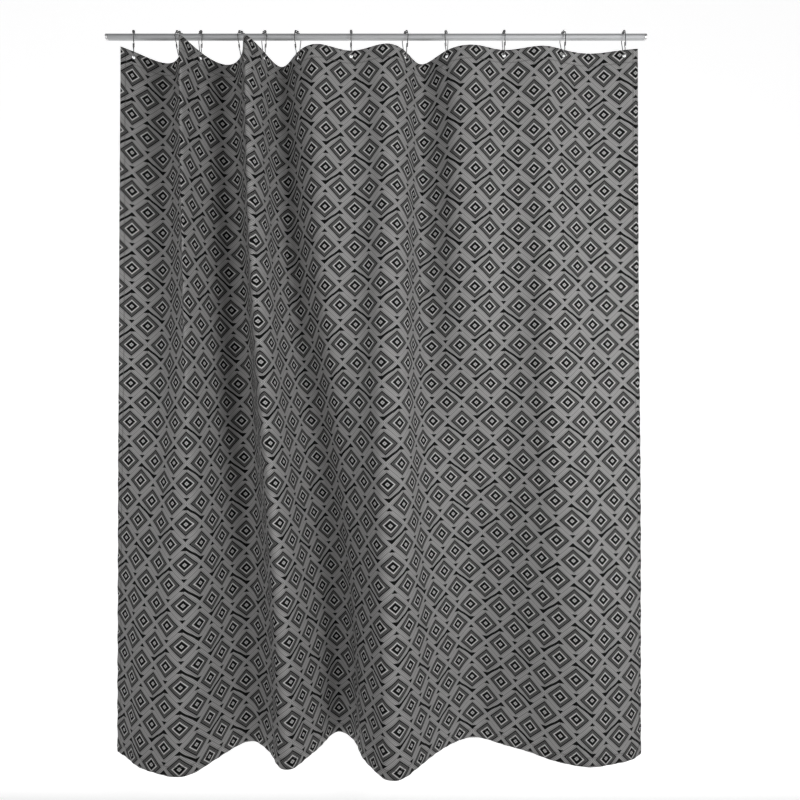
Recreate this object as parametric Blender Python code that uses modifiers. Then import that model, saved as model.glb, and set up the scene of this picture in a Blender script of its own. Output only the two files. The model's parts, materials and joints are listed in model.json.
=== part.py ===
"""A printed shower curtain on a straight metal rod, hung from twelve roller hooks.

The rod runs along +X from its left end face at the origin, +Z is up, and -Y faces the
room. The curtain hangs in folds that start from the places and lean of the hooks.
"""

import math

import bmesh
import bpy
import numpy as np
from mathutils import Matrix, Vector

# Driving dimensions, in metres.
CURTAIN_WIDTH = 1.83  # the flat cloth, edge to edge
CURTAIN_DROP = 1.83  # the flat cloth, top edge to bottom edge
FULLNESS = 1.376  # flat width over the width that it hangs at
CLOTH_THICK = 0.0008
TAPE_THICK = 0.0008
TAPE_GAP = 0.0008  # cloth to tape, wide enough for the sharpest fold
TAPE_DROP = 0.036
EDGE_TO_EYELET = 0.033  # first and last eyelet to the side edge
TOP_TO_EYELET = 0.015
EYELET_ROOM = 0.0040  # how much wider than the wire an eyelet is, at its radius

ROD_RADIUS = 0.008
ROD_WALL = 0.001
ROD_END_ROOM = 0.047  # rod end to the hanging curtain, left; the right has less
ROD_END_ROOM_RIGHT = 0.026
CAP_HEAD = 0.006
CAP_SPIGOT = 0.016
CAP_CHAMFER = 0.001

WIRE_RADIUS = 0.0011
HOOK_LOW = 0.050  # rod axis to the wire's lowest point
HOOK_ARC_ROOM = 0.007  # how much wider than the rod the top arc is, at its radius
HOOK_LOW_RADIUS = 0.006
BEAD_RADIUS = 0.0038
BEAD_HALF_LENGTH = 0.003
BEAD_BORE_ROOM = 0.0007
BEAD_SEAT = 0.0006  # rod to the middle bead, so a turned hook's side beads clear it
BEADS = 3
BEAD_GAP = 0.0006  # between neighbouring beads, along the arc
MAX_YAW = math.radians(34)
YAW_SHARE = 0.5  # how far a hook turns towards the slope of the header

GAP = 0.0003

# Each hook: its place along the hanging curtain, as a share of the hung width, and how
# far the fold beside it leans it, in degrees; plus is away from the room.
HOOKS = [
    (0.0186, 0),
    (0.1087, 2),
    (0.1489, 3),
    (0.2302, 3),
    (0.2733, 2),
    (0.3389, 3),
    (0.4437, -4),
    (0.5491, -2),
    (0.6298, -5),
    (0.7414, -7),
    (0.8570, -8),
    (0.9755, -7),
]
# The header's fold between each two hooks: +1 away from the room or -1 towards it, and
# where it turns, as a share of the way.
HEADER_FOLDS = [
    (1, 0.62),
    (-1, 0.45),
    (1, 0.55),
    (-1, 0.42),
    (1, 0.40),
    (-1, 0.40),
    (-1, 0.66),
    (1, 0.42),
    (-1, 0.48),
    (-1, 0.60),
    (1, 0.50),
]
# The folds along the bottom edge: place as a share of the hung width, and depth in
# metres before the depths are scaled to the cloth's own width.
BOTTOM_FOLDS = [
    (-0.020, 0.012),
    (0.153, -0.060),
    (0.245, 0.055),
    (0.324, -0.052),
    (0.411, 0.096),
    (0.508, -0.086),
    (0.668, 0.062),
    (0.897, -0.050),
    (1.012, 0.006),
]

HUNG_WIDTH = CURTAIN_WIDTH / FULLNESS
ROD_LENGTH = ROD_END_ROOM + HUNG_WIDTH + ROD_END_ROOM_RIGHT
HOOK_TOP = ROD_RADIUS + BEAD_SEAT + BEAD_RADIUS  # rod axis to the wire at its highest
HOOK_ARC_RADIUS = ROD_RADIUS + HOOK_ARC_ROOM
EYELET_RADIUS = WIRE_RADIUS + EYELET_ROOM
EYELET_DROP = 0.55 * EYELET_ROOM  # wire to the eyelet's centre, which hangs below it
HEADER_RISE = TOP_TO_EYELET - EYELET_DROP  # wire to the cloth's top edge

TUBE_STEPS = 24
BEAD_STEPS = 8
EYELET_STEPS = 12
CUTTER_DEPTH = 0.014
COLUMNS_PER_FOLD = 10
FINE_STEPS = 60  # fine points along each stretch of a fold curve


def clear_scene():
    for obj in list(bpy.data.objects):
        bpy.data.objects.remove(obj, do_unlink=True)


def new_collection(name):
    collection = bpy.data.collections.new(name)
    bpy.context.scene.collection.children.link(collection)
    return collection


def material(name, colour, roughness, metallic):
    made = bpy.data.materials.new(name)
    made.use_nodes = True
    shader = made.node_tree.nodes["Principled BSDF"]
    shader.inputs["Base Color"].default_value = (*colour, 1)
    shader.inputs["Roughness"].default_value = roughness
    shader.inputs["Metallic"].default_value = metallic
    return made


def new_part(name, data, collection, finish):
    part = bpy.data.objects.new(name, data)
    collection.objects.link(part)
    if finish:
        data.materials.clear()
        data.materials.append(finish)
    return part


def mesh_of(bm, name):
    mesh = bpy.data.meshes.new(name)
    bm.to_mesh(mesh)
    bm.free()
    mesh.shade_smooth()
    mesh.set_sharp_from_angle(angle=math.radians(40))
    return mesh


def turned_mesh(profile, steps, name, closed=True):
    """A profile of (x, radius) points, turned about the X axis."""
    bm = bmesh.new()
    points = [bm.verts.new((x, 0, r)) for x, r in profile]
    following = points[1:] + points[:1] if closed else points[1:]
    edges = [bm.edges.new(pair) for pair in zip(points, following)]
    bmesh.ops.spin(
        bm,
        geom=points + edges,
        cent=(0, 0, 0),
        axis=(1, 0, 0),
        angle=math.tau,
        steps=steps,
        use_merge=True,
    )
    bmesh.ops.remove_doubles(bm, verts=bm.verts, dist=1e-6)
    bmesh.ops.recalc_face_normals(bm, faces=bm.faces)
    return mesh_of(bm, name)


# The rod and its two end caps.


def tube_mesh():
    left = CAP_HEAD + GAP
    right = ROD_LENGTH - CAP_HEAD - GAP
    inner = ROD_RADIUS - ROD_WALL
    profile = [(left, inner), (left, ROD_RADIUS), (right, ROD_RADIUS), (right, inner)]
    return turned_mesh(profile, TUBE_STEPS, "rod_tube")


def cap_mesh():
    """A cap whose outer face is at x = 0 and whose spigot points along +X."""
    spigot = ROD_RADIUS - ROD_WALL - GAP
    outline = [
        (0, 0),
        (0, ROD_RADIUS - CAP_CHAMFER),
        (CAP_CHAMFER, ROD_RADIUS),
        (CAP_HEAD, ROD_RADIUS),
        (CAP_HEAD, spigot),
        (CAP_HEAD + CAP_SPIGOT, spigot),
        (CAP_HEAD + CAP_SPIGOT, 0),
    ]
    return turned_mesh(outline, TUBE_STEPS, "end_cap", closed=False)


def build_rod(collection, finishes):
    new_part("rod_tube", tube_mesh(), collection, finishes["rod"])
    left = new_part("end_cap_left", cap_mesh(), collection, finishes["cap"])
    right = new_part("end_cap_right", left.data, collection, None)
    right.location.x = ROD_LENGTH
    right.rotation_euler.z = math.pi


# The hooks. A hook's own plane is its local YZ plane, with the rod's axis at the origin.


def loop_slope():
    """The angle by which each leg leans in from the wide top arc to the narrow low one."""
    centres_apart = (HOOK_LOW - HOOK_LOW_RADIUS) + HOOK_TOP - HOOK_ARC_RADIUS
    return math.asin((HOOK_ARC_RADIUS - HOOK_LOW_RADIUS) / centres_apart)


def arc_points(radius, centre_z, start, stop, count):
    """Points on an arc, with its angles measured from straight up towards +Y."""
    angles = np.linspace(start, stop, count)
    return [(0, radius * math.sin(a), centre_z + radius * math.cos(a)) for a in angles]


def wire_points():
    """One turn of wire: down from the clasp's upper side, over the rod and back up to it."""
    side = math.pi / 2 + loop_slope()
    top = arc_points(HOOK_ARC_RADIUS, HOOK_TOP - HOOK_ARC_RADIUS, -side, side, 13)
    low_z = HOOK_LOW_RADIUS - HOOK_LOW
    low = arc_points(HOOK_LOW_RADIUS, low_z, side, 2 * math.pi - side, 7)
    leg_top, leg_foot = Vector(top[0]), Vector(low[-1])
    beside = Vector((WIRE_RADIUS + 0.0002, 0, 0))

    def on_leg(share, shift):
        return leg_top.lerp(leg_foot, share) + beside * shift

    upper_end = [on_leg(0.64, 1), on_leg(0.44, 1), on_leg(0.26, 0)]
    lower_end = [on_leg(0.80, 0), on_leg(0.64, -1), on_leg(0.42, -1)]
    return upper_end + top + low + lower_end


def wire_curve():
    curve = bpy.data.curves.new("hook_wire", "CURVE")
    curve.dimensions = "3D"
    curve.bevel_depth = WIRE_RADIUS
    curve.bevel_resolution = 2
    curve.use_fill_caps = True
    spline = curve.splines.new("POLY")
    points = wire_points()
    spline.points.add(len(points) - 1)
    for point, place in zip(spline.points, points):
        point.co = (*place, 1)
    return curve


def bead_mesh():
    """One bead at the origin, bored along X for the wire."""
    bore = WIRE_RADIUS + BEAD_BORE_ROOM
    shoulder = (0.7 * BEAD_HALF_LENGTH, 0.8 * BEAD_RADIUS)
    profile = [
        (-BEAD_HALF_LENGTH, bore),
        (-shoulder[0], shoulder[1]),
        (0, BEAD_RADIUS),
        shoulder,
        (BEAD_HALF_LENGTH, bore),
    ]
    return turned_mesh(profile, BEAD_STEPS, "hook_bead")


def bead_places():
    """Matrices for the beads along the top arc, in the hook's plane."""
    pitch = (2 * BEAD_RADIUS + BEAD_GAP) / HOOK_ARC_RADIUS
    centre = Matrix.Translation((0, 0, HOOK_TOP - HOOK_ARC_RADIUS))
    out = Matrix.Translation((0, 0, HOOK_ARC_RADIUS))
    along_wire = Matrix.Rotation(math.pi / 2, 4, "Z")
    turns = [(place - (BEADS - 1) / 2) * pitch for place in range(BEADS)]
    return [centre @ Matrix.Rotation(-t, 4, "X") @ out @ along_wire for t in turns]


def build_hooks(collection, finishes, yaws):
    """Each hook hangs from an empty on the rod's axis, yawed and leaned as a whole."""
    wire = wire_curve()
    bead = bead_mesh()
    wire.materials.append(finishes["wire"])
    bead.materials.append(finishes["bead"])
    for number, ((share, lean), yaw) in enumerate(zip(HOOKS, yaws), start=1):
        hook = f"hook_{number:02d}"
        pivot = bpy.data.objects.new(f"{hook}_pivot", None)
        collection.objects.link(pivot)
        pivot.location.x = ROD_END_ROOM + share * HUNG_WIDTH
        pivot.rotation_mode = "ZYX"
        pivot.rotation_euler = (math.radians(lean), 0, yaw)
        new_part(f"{hook}_wire", wire, collection, None).parent = pivot
        for place, matrix in enumerate(bead_places(), start=1):
            part = new_part(f"{hook}_bead_{place}", bead, collection, None)
            part.parent = pivot
            part.matrix_local = matrix


# The curtain's shape: a plan curve at the header and one at the bottom edge, each as long
# as the cloth is wide, and a blend between them on the way down.


def smooth_curve(points):
    """Fine points of the natural cubic spline through the given plan points."""
    p = np.array(points, float)
    t = np.concatenate([[0], np.cumsum(np.linalg.norm(np.diff(p, axis=0), axis=1))])
    h = np.diff(t)
    n = len(p)
    system, right = np.eye(n), np.zeros((n, 2))
    for i in range(1, n - 1):
        system[i, i - 1 : i + 2] = h[i - 1], 2 * (h[i - 1] + h[i]), h[i]
        slopes = (p[i + 1] - p[i]) / h[i] - (p[i] - p[i - 1]) / h[i - 1]
        right[i] = 6 * slopes
    bend = np.linalg.solve(system, right)
    fine = []
    for i in range(n - 1):
        s = np.linspace(0, 1, FINE_STEPS, endpoint=False)[:, None]
        straight = p[i] * (1 - s) + p[i + 1] * s
        first = (1 - s) ** 3 - (1 - s)
        second = s**3 - s
        fine.append(straight + h[i] ** 2 / 6 * (first * bend[i] + second * bend[i + 1]))
    return np.vstack(fine + [p[-1:]])


def lengths_along(line):
    steps = np.linalg.norm(np.diff(line, axis=0), axis=1)
    return np.concatenate([[0], np.cumsum(steps)])


def hook_feet():
    """The plan place (x, y) of each wire's lowest point."""
    feet = []
    for share, lean in HOOKS:
        y = HOOK_LOW * math.sin(math.radians(lean))
        feet.append((ROD_END_ROOM + share * HUNG_WIDTH, y))
    return np.array(feet)


def edge_point(foot, edge_x):
    """The cloth's side edge, towards the room and one eyelet margin from the hook."""
    across = foot[0] - edge_x
    return (edge_x, foot[1] - math.sqrt(max(EDGE_TO_EYELET**2 - across**2, 0)))


def header_curve():
    """The header's plan: it passes each hook, with the same length of cloth between."""
    feet = hook_feet()
    pitch = (CURTAIN_WIDTH - 2 * EDGE_TO_EYELET) / (len(HOOKS) - 1)
    first = edge_point(feet[0], ROD_END_ROOM)
    last = edge_point(feet[-1], ROD_END_ROOM + HUNG_WIDTH)
    depths = np.full(len(HEADER_FOLDS), 0.03)
    for _ in range(40):
        points = [first]
        for i, (way, share) in enumerate(HEADER_FOLDS):
            middle = feet[i] * (1 - share) + feet[i + 1] * share
            points += [feet[i], middle + (0, way * depths[i])]
        points += [feet[-1], last]
        line = smooth_curve(points)
        along = lengths_along(line)
        for i in range(len(HEADER_FOLDS)):
            start = FINE_STEPS * (1 + 2 * i)
            length = along[start + 2 * FINE_STEPS] - along[start]
            depths[i] += 0.4 * (pitch - length)
        depths = np.maximum(depths, 0.004)
    return line


def bottom_curve():
    """The bottom edge's plan, its depths scaled until it is as long as the cloth."""
    places = np.array(BOTTOM_FOLDS)
    places[:, 0] = ROD_END_ROOM + places[:, 0] * HUNG_WIDTH
    places[:, 1] -= places[:, 1].mean()
    scale = 1.0
    for _ in range(30):
        line = smooth_curve(places * (1, scale))
        scale += 2 * (CURTAIN_WIDTH - lengths_along(line)[-1]) / CURTAIN_WIDTH
    return line


def at_shares(line, shares):
    """Points at shares of a line's length."""
    along = lengths_along(line)
    return np.stack([np.interp(shares * along[-1], along, line[:, k]) for k in (0, 1)], 1)


def blended(header, bottom, down):
    """The plan at a share of the drop, its depths scaled to keep the cloth's width."""
    weight = down * down * (3 - 2 * down)
    line = header * (1 - weight) + bottom * weight
    middle = line[:, 1].mean()
    low, high = 0.2, 8.0
    for _ in range(40):
        scale = (low + high) / 2
        stretched = np.stack([line[:, 0], middle + (line[:, 1] - middle) * scale], 1)
        if lengths_along(stretched)[-1] < CURTAIN_WIDTH:
            low = scale
        else:
            high = scale
    return stretched


def header_height(x):
    """The height of the hooks' lowest points at x, which their lean raises a little."""
    feet = hook_feet()
    heights = [-HOOK_LOW * math.cos(math.radians(lean)) for _, lean in HOOKS]
    return np.interp(x, feet[:, 0], heights)


def cloth_points(downs, columns, header, bottom, offset):
    """Rows of points on the cloth, shifted by offset along its level normal."""
    shares = np.linspace(0, 1, columns + 1)
    fine = np.linspace(0, 1, 1201)
    top_line, low_line = at_shares(header, fine), at_shares(bottom, fine)
    heights = header_height(at_shares(header, shares)[:, 0]) + HEADER_RISE
    rows = []
    for down in downs:
        plan = at_shares(blended(top_line, low_line, down), shares)
        slope = np.gradient(plan, axis=0)
        slope /= np.linalg.norm(slope, axis=1)[:, None]
        plan = plan + offset * np.stack([-slope[:, 1], slope[:, 0]], 1)
        level = heights - down * CURTAIN_DROP
        rows.append([Vector((x, y, z)) for (x, y), z in zip(plan, level)])
    return rows


def sheet_mesh(rows, name):
    """A loft through the rows of points."""
    bm = bmesh.new()
    grid = [[bm.verts.new(point) for point in row] for row in rows]
    for upper, lower in zip(grid, grid[1:]):
        for i in range(len(upper) - 1):
            bm.faces.new((upper[i], lower[i], lower[i + 1], upper[i + 1]))
    return mesh_of(bm, name)


def thicken(part, thickness):
    wall = part.modifiers.new("thickness", "SOLIDIFY")
    wall.thickness = thickness
    wall.offset = 0


def eyelet_places(header):
    """A matrix for each eyelet: its centre, with X along the cloth's normal."""
    along = lengths_along(header)
    pitch = (CURTAIN_WIDTH - 2 * EDGE_TO_EYELET) / (len(HOOKS) - 1)
    places, angles = [], []
    for i, (foot, (_, lean)) in enumerate(zip(hook_feet(), HOOKS)):
        ends = [EDGE_TO_EYELET + i * pitch + step for step in (-0.006, 0.006)]
        (x0, x1), (y0, y1) = [np.interp(ends, along, header[:, k]) for k in (0, 1)]
        angle = math.atan2(y1 - y0, x1 - x0)
        drop = HOOK_LOW * math.cos(math.radians(lean)) + EYELET_DROP
        turn = Matrix.Rotation(angle + math.pi / 2, 4, "Z")
        places.append(Matrix.Translation((*foot, -drop)) @ turn)
        angles.append(angle)
    return places, angles


def cutters_for_eyelets(places, collection):
    """One guide object with a short cylinder through the cloth at each eyelet."""
    bm = bmesh.new()
    for place in places:
        bmesh.ops.create_cone(
            bm,
            cap_ends=True,
            segments=EYELET_STEPS,
            radius1=EYELET_RADIUS,
            radius2=EYELET_RADIUS,
            depth=CUTTER_DEPTH,
            matrix=place @ Matrix.Rotation(math.pi / 2, 4, "Y"),
        )
    cutter = new_part("eyelet_cutters", mesh_of(bm, "eyelet_cutters"), collection, None)
    cutter.hide_render = True
    cutter.display_type = "WIRE"
    return cutter


def cut_with(part, cutter):
    holes = part.modifiers.new("eyelet_holes", "BOOLEAN")
    holes.operation = "DIFFERENCE"
    holes.object = cutter


def build_curtain(collection, cutters, finishes):
    """The panel and its header tape; returns the header's slope at each eyelet."""
    header, bottom = header_curve(), bottom_curve()
    places, angles = eyelet_places(header)
    cutter = cutters_for_eyelets(places, cutters)
    columns = COLUMNS_PER_FOLD * len(HOOKS)

    downs = np.array([0, 0.04, 0.17, 0.31, 0.45, 0.59, 0.73, 0.87, 1.0])
    rows = cloth_points(downs, columns, header, bottom, 0)
    mesh = sheet_mesh(rows, "curtain_panel")
    panel = new_part("curtain_panel", mesh, collection, finishes["cloth"])
    thicken(panel, CLOTH_THICK)
    cut_with(panel, cutter)

    behind = CLOTH_THICK / 2 + TAPE_GAP + TAPE_THICK / 2
    span = np.array([0.001, TAPE_DROP]) / CURTAIN_DROP
    rows = cloth_points(span, columns, header, bottom, behind)
    tape = new_part(
        "header_tape", sheet_mesh(rows, "header_tape"), collection, finishes["tape"]
    )
    thicken(tape, TAPE_THICK)
    cut_with(tape, cutter)
    return angles


def main():
    clear_scene()
    curtain = new_collection("shower_curtain")
    cutters = new_collection("cutters")
    finishes = {
        "rod": material("satin_rod", (0.46, 0.46, 0.47), 0.35, 1.0),
        "cap": material("cap_metal", (0.60, 0.60, 0.61), 0.40, 1.0),
        "wire": material("chrome_wire", (0.70, 0.70, 0.71), 0.12, 1.0),
        "bead": material("chrome_bead", (0.72, 0.72, 0.73), 0.10, 1.0),
        "cloth": material("printed_cloth", (0.12, 0.12, 0.12), 0.85, 0.0),
        "tape": material("header_tape", (0.75, 0.75, 0.74), 0.90, 0.0),
    }
    build_rod(curtain, finishes)
    angles = build_curtain(curtain, cutters, finishes)
    yaws = [max(-MAX_YAW, min(MAX_YAW, YAW_SHARE * angle)) for angle in angles]
    build_hooks(curtain, finishes, yaws)


main()
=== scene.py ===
"""A printed shower curtain on a straight metal rod, hung from twelve roller hooks.

Lengths are in metres. +X runs along the rod from its left end face, +Z is up and -Y
faces the room. The sections follow the curtain as it is put together.
"""

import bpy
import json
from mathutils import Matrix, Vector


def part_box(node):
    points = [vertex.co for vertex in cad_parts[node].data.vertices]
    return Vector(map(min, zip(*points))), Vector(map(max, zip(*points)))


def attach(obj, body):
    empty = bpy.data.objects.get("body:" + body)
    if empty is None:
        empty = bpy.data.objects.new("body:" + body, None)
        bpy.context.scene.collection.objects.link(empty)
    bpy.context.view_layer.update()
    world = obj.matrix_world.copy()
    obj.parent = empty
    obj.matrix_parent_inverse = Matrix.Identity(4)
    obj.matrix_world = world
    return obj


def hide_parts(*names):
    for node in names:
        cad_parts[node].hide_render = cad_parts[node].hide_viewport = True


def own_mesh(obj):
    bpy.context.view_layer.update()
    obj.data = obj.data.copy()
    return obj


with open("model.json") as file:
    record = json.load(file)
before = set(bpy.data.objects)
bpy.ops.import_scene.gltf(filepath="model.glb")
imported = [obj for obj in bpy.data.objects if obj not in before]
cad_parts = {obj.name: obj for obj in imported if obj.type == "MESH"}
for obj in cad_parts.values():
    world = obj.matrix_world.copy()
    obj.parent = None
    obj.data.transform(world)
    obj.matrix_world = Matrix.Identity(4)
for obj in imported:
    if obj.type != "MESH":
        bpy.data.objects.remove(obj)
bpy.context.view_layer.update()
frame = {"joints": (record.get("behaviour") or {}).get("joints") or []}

import json
import math

import bmesh
import bpy
import numpy as np
from mathutils import Matrix, Vector

# The rod. A thin steel tube 16 mm across, ground to a satin finish and cut to the width
# between two walls. The rollers leave a slightly brighter track along its top.

rod_low, rod_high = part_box("rod_tube")
ROD_RADIUS = (rod_high[2] - rod_low[2]) / 2
ROD_WALL = 0.001
ROD_SIDES = 96
ROD_RIM = 0.0002


class Value:
    """One output of a node in a material, which + - * and / carry on as Math nodes."""

    def __init__(self, tree, output):
        self.tree = tree
        self.output = output

    def node(self, kind, settings=None, inputs=None, output=0):
        """Adds any node to the same material: its settings first, then its sockets."""
        made = self.tree.nodes.new(kind)
        for name, value in (settings or {}).items():
            if name == "stops":
                self.set_stops(made.color_ramp, value)
            else:
                setattr(made, name, value)
        for name, value in (inputs or {}).items():
            if isinstance(value, Value):
                self.tree.links.new(value.output, made.inputs[name])
            else:
                made.inputs[name].default_value = value
        return Value(self.tree, made.outputs[output])

    @staticmethod
    def set_stops(ramp, stops):
        for place, _ in stops[2:]:
            ramp.elements.new(place)
        for element, (place, grey) in zip(ramp.elements, stops):
            element.position = place
            element.color = (grey, grey, grey, 1)

    def also(self, output):
        """Another output of the same node."""
        return Value(self.tree, self.output.node.outputs[output])

    def maths(self, operation, *others):
        inputs = dict(enumerate((self, *others)))
        return self.node("ShaderNodeMath", {"operation": operation}, inputs)

    def flipped(self, operation, other):
        inputs = {0: other, 1: self}
        return self.node("ShaderNodeMath", {"operation": operation}, inputs)

    def __add__(self, other):
        return self.maths("ADD", other)

    def __radd__(self, other):
        return self.flipped("ADD", other)

    def __sub__(self, other):
        return self.maths("SUBTRACT", other)

    def __rsub__(self, other):
        return self.flipped("SUBTRACT", other)

    def __mul__(self, other):
        return self.maths("MULTIPLY", other)

    def __rmul__(self, other):
        return self.flipped("MULTIPLY", other)

    def __truediv__(self, other):
        return self.maths("DIVIDE", other)

    def __rtruediv__(self, other):
        return self.flipped("DIVIDE", other)

    def __abs__(self):
        return self.maths("ABSOLUTE")


class Finish:
    """A material and its surface shader."""

    def __init__(self, name, **fixed):
        self.material = bpy.data.materials.new(name)
        self.material.use_nodes = True
        self.tree = self.material.node_tree
        self.shader = self.tree.nodes["Principled BSDF"]
        self.start = Value(self.tree, self.shader.outputs[0])
        for name, value in fixed.items():
            self.shader.inputs[name.replace("_", " ")].default_value = value

    def drive(self, **linked):
        for name, value in linked.items():
            socket = self.shader.inputs[name.replace("_", " ")]
            self.tree.links.new(value.output, socket)

    def place(self):
        """Where a point is, in the object's own metres."""
        return self.start.node("ShaderNodeTexCoord", output="Object")

    def noise(self, place, size, detail=2.0, stretch=(1, 1, 1)):
        """Soft noise from 0 to 1, with features of a size in metres, times the stretch."""
        scales = [1 / (size * s) for s in stretch]
        spread = self.start.node(
            "ShaderNodeMapping", inputs={"Vector": place, "Scale": scales}
        )
        inputs = {"Vector": spread, "Scale": 1.0, "Detail": detail}
        return self.start.node("ShaderNodeTexNoise", inputs=inputs)

    def bump(self, height, distance, strength=1.0):
        inputs = {"Height": height, "Distance": distance, "Strength": strength}
        return self.start.node("ShaderNodeBump", inputs=inputs)

    def between(self, share, first, second):
        """A colour that goes from the first to the second as share goes from 0 to 1."""
        inputs = {"Factor": share, "A": first, "B": second}
        mixed = self.start.node("ShaderNodeMix", {"data_type": "RGBA"})
        node = mixed.output.node
        colour_sockets = {"Factor": 0, "A": 6, "B": 7}
        for name, value in inputs.items():
            socket = node.inputs[colour_sockets[name]]
            if isinstance(value, Value):
                self.tree.links.new(value.output, socket)
            else:
                socket.default_value = value
        return Value(self.tree, node.outputs[2])


def grey(value, warmth=0.0):
    return (value * (1 + warmth), value, value * (1 - warmth), 1)


def nothing_selected():
    bpy.ops.object.select_all(action="DESELECT")


def only_selected(piece):
    nothing_selected()
    piece.select_set(True)
    bpy.context.view_layer.objects.active = piece


def named(name):
    """The primitive that was just added, under its own name."""
    piece = bpy.context.object
    piece.name = name
    piece.data.name = name
    return piece


def modifier(piece, kind, **settings):
    """Adds a modifier, sets it and applies it."""
    only_selected(piece)
    made = piece.modifiers.new(kind.lower(), kind)
    for name, value in settings.items():
        setattr(made, name, value)
    bpy.ops.object.modifier_apply(modifier=made.name)


def set_in_place(piece, smooth_below=30):
    """Puts a piece's place and turn into its mesh, and shades it."""
    only_selected(piece)
    bpy.ops.object.transform_apply(location=True, rotation=True, scale=True)
    bpy.ops.object.shade_smooth_by_angle(angle=math.radians(smooth_below))


def finished(piece, finish, body, slot, *replaced):
    """Gives a piece its finish, its body and the CAD nodes that it stands for."""
    piece.data.materials.clear()
    piece.data.materials.append(finish.material)
    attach(piece, body)
    if replaced:
        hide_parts(*replaced)


nothing_selected()
bpy.ops.mesh.primitive_cylinder_add(
    vertices=ROD_SIDES,
    radius=ROD_RADIUS,
    depth=rod_high[0] - rod_low[0],
    end_fill_type="NOTHING",
    location=((rod_low[0] + rod_high[0]) / 2, 0, 0),
    rotation=(0, math.pi / 2, 0),
)
rod = named("rod_satin_tube")
modifier(rod, "SOLIDIFY", thickness=ROD_WALL, offset=-1)
modifier(rod, "BEVEL", width=ROD_RIM, segments=2, limit_method="ANGLE")
set_in_place(rod)

satin_steel = Finish("satin_steel", Metallic=1.0)
place = satin_steel.place()
grain = satin_steel.noise(place, 0.0006, 3.0, (60, 1, 1))
cloudy = satin_steel.noise(place, 0.05, 2.0)
height = place.node("ShaderNodeSeparateXYZ", inputs={"Vector": place}, output="Z")
TRACK_FROM = 0.86
track = (height / ROD_RADIUS).node(
    "ShaderNodeMapRange",
    {"interpolation_type": "SMOOTHSTEP"},
    {"Value": height / ROD_RADIUS, "From Min": TRACK_FROM, "From Max": 1.0},
)
scuffs = satin_steel.noise(place, 0.0015, 4.0, (9, 1, 1))
worn = track * scuffs
satin_steel.drive(
    Base_Color=satin_steel.between(
        grain * 0.7 + cloudy * 0.3 + worn * 0.3, grey(0.56, -0.01), grey(0.66, -0.01)
    ),
    Roughness=0.62 + grain * 0.14 + cloudy * 0.05 - worn * 0.10,
    Normal=satin_steel.bump(grain + scuffs * track, 0.00002, 0.6),
)
finished(rod, satin_steel, "rod", "rod_metal", "rod_tube")

# The two end caps. Each is cast with a round head as wide as the tube and a spigot that
# presses into it. The rim is rounded, and the flat outer face sits against the wall.

CAP_HEAD = 0.006
CAP_SPIGOT = 0.016
CAP_SPIGOT_RADIUS = 0.0067
CAP_CHAMFER = 0.001
CAP_DISH = 0.0004
CAP_DISH_RIM = 0.0022
CAP_TIP_INSET = 0.0006
CAP_TIP_RISE = 0.0005
CAP_NECK_ROUND = 0.0003
TOUCHING = 1e-5
rod_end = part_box("end_cap_right")[1][0]


def selected_faces(piece, wanted):
    """In edit mode, selects just the faces whose middle and normal are wanted."""
    bpy.ops.mesh.select_mode(type="FACE")
    bpy.ops.mesh.select_all(action="DESELECT")
    shape = bmesh.from_edit_mesh(piece.data)
    for face in shape.faces:
        face.select_set(wanted(face.calc_center_median(), face.normal))
    shape.select_flush_mode()
    bmesh.update_edit_mesh(piece.data)


def selected_edges(piece, wanted):
    """In edit mode, selects just the edges whose two ends are both wanted."""
    bpy.ops.mesh.select_mode(type="EDGE")
    bpy.ops.mesh.select_all(action="DESELECT")
    shape = bmesh.from_edit_mesh(piece.data)
    for edge in shape.edges:
        edge.select_set(all(wanted(vert.co) for vert in edge.verts))
    bmesh.update_edit_mesh(piece.data)


def copied(piece, name, matrix):
    """A copy with its own mesh, moved by the matrix."""
    twin = bpy.data.objects.new(name, piece.data.copy())
    bpy.context.scene.collection.objects.link(twin)
    twin.data.transform(matrix)
    twin.data.name = name
    return twin


nothing_selected()
bpy.ops.mesh.primitive_cylinder_add(
    vertices=ROD_SIDES,
    radius=ROD_RADIUS,
    depth=CAP_HEAD,
    location=(CAP_HEAD / 2, 0, 0),
    rotation=(0, math.pi / 2, 0),
)
left_cap = named("cap_left")
bpy.ops.object.transform_apply(location=True, rotation=True, scale=True)
bpy.ops.object.mode_set(mode="EDIT")
selected_faces(left_cap, lambda middle, normal: normal.x > 0.9)
bpy.ops.mesh.inset(thickness=ROD_RADIUS - CAP_SPIGOT_RADIUS)
bpy.ops.mesh.extrude_region_move(
    TRANSFORM_OT_translate={"value": (CAP_SPIGOT, 0, 0)}
)
bpy.ops.mesh.inset(thickness=CAP_TIP_INSET)
bpy.ops.transform.translate(value=(CAP_TIP_RISE, 0, 0))
selected_faces(left_cap, lambda middle, normal: normal.x < -0.9)
bpy.ops.mesh.inset(thickness=CAP_DISH_RIM)
bpy.ops.mesh.inset(thickness=CAP_DISH)
bpy.ops.transform.translate(value=(CAP_DISH, 0, 0))
selected_edges(
    left_cap,
    lambda at: at.x < TOUCHING and at.yz.length > ROD_RADIUS - TOUCHING,
)
bpy.ops.mesh.bevel(offset=CAP_CHAMFER, segments=4, affect="EDGES")
selected_edges(
    left_cap,
    lambda at: abs(at.x - CAP_HEAD) < TOUCHING
    and at.yz.length > ROD_RADIUS - TOUCHING,
)
bpy.ops.mesh.bevel(offset=CAP_NECK_ROUND, segments=2, affect="EDGES")
bpy.ops.object.mode_set(mode="OBJECT")
set_in_place(left_cap, 40)
turn = Matrix.Translation((rod_end, 0, 0)) @ Matrix.Rotation(math.pi, 4, "Z")
right_cap = copied(left_cap, "cap_right", turn)

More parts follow.
